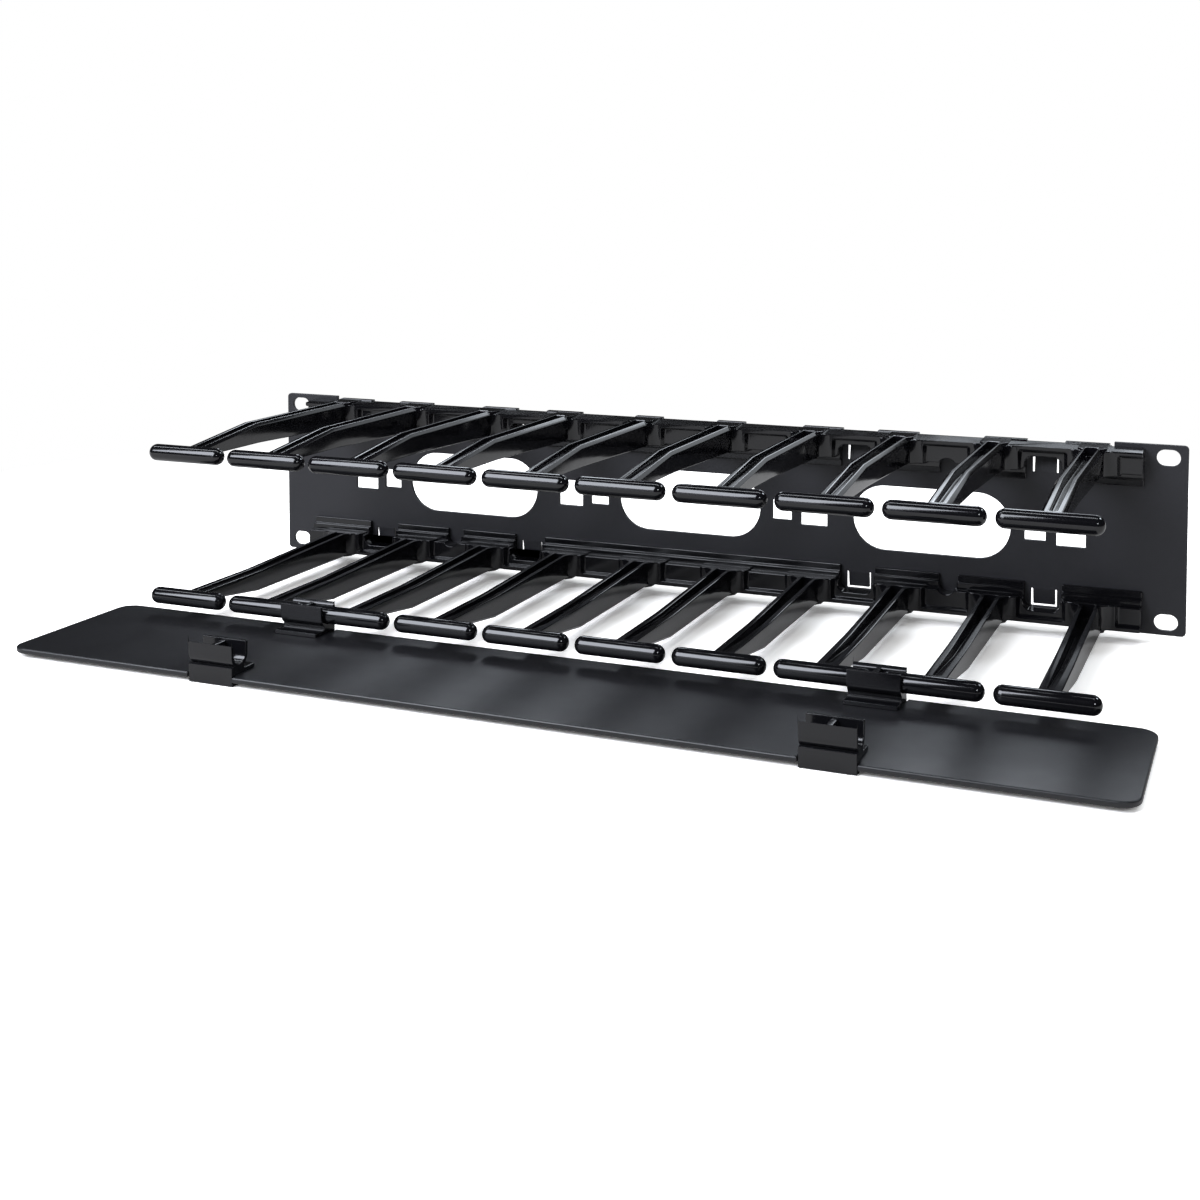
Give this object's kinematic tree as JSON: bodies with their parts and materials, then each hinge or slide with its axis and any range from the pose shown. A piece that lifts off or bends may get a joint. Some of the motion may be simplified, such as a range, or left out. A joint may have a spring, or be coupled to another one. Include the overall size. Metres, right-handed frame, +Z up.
{
  "type": "horizontal cable manager",
  "caption": "Rack-width metal panel with windows and slots, two rows of forward fingers with cross bars, and a flat cover that swings down or closes over the fingers",
  "frame": {"origin": "centre of the four mounting slots, on the rear face of the panel, where it meets the rack's rails", "axes": "+X along the rack's width to the right, +Y into the rack (the fingers point along -Y), +Z up"},
  "size_m": [0.4826, 0.2281, 0.0913],
  "materials": {
    "panel_coat": "satin black powder coat on sheet steel",
    "comb_plastic": "glossy black moulded plastic",
    "cover_plastic": "satin black moulded plastic sheet",
    "clip_plastic": "semi-gloss black moulded plastic"
  },
  "bodies": {
    "base": {"panel": "panel_coat", "top_comb": "comb_plastic", "bottom_comb": "comb_plastic"},
    "swing_cover": {"cover": "cover_plastic", "hinge_clip_left": "clip_plastic", "hinge_clip_right": "clip_plastic", "free_clip_left": "clip_plastic", "free_clip_right": "clip_plastic"}
  },
  "joints": [
    {"name": "cover_hinge", "type": "hinge", "parent": "base", "child": "swing_cover", "pos_m": [0, -0.1505, -0.0346], "axis": [-1, 0, 0], "range_deg": [0, 90]}
  ]
}
